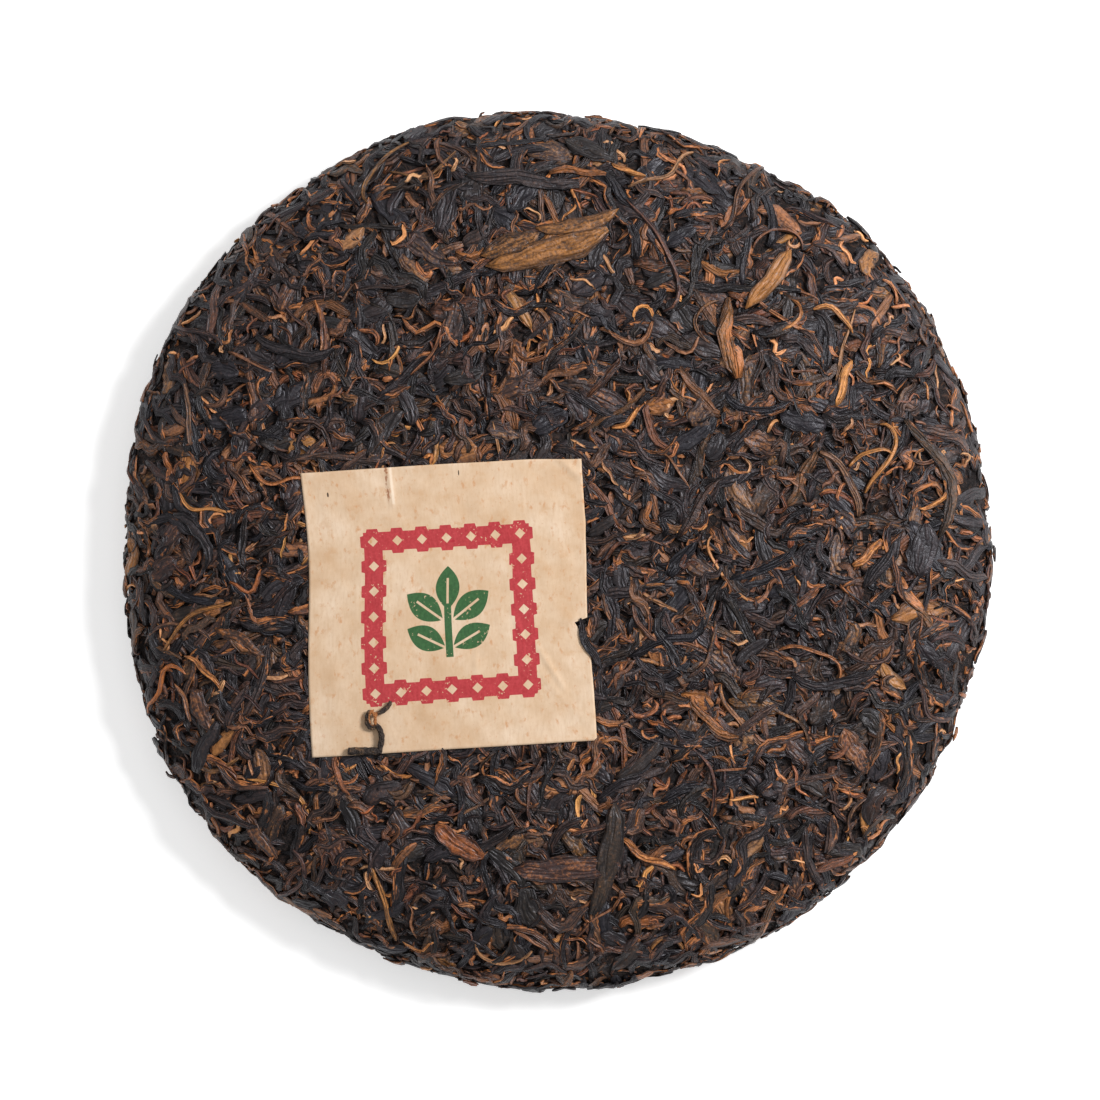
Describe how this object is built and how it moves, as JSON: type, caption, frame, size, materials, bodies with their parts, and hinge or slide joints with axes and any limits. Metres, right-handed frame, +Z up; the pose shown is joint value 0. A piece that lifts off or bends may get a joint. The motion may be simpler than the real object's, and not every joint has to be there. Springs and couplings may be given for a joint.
{
  "type": "pressed tea cake",
  "caption": "Round pressed cake of dark tea leaves with a square paper ticket on its face, a curled leaf stem across the ticket's edge, and a round hollow underneath.",
  "frame": {"origin": "on the flat underside, below the middle of the outline's box", "axes": "+Z up out of the face that carries the ticket, +Y towards the top of the picture, +X to its right"},
  "size_m": [0.1933, 0.1976, 0.0246],
  "materials": {
    "tea_leaf": "dry twisted leaf, dark brown with golden buds, slightly glossy",
    "ticket_paper": "thin uncoated cream paper, matt, tea stained",
    "leaf_stem": "dry twisted stem, satin"
  },
  "bodies": {
    "root": {"pressed_cake": "tea_leaf", "paper_ticket": "ticket_paper", "curled_stem": "leaf_stem"}
  },
  "joints": []
}
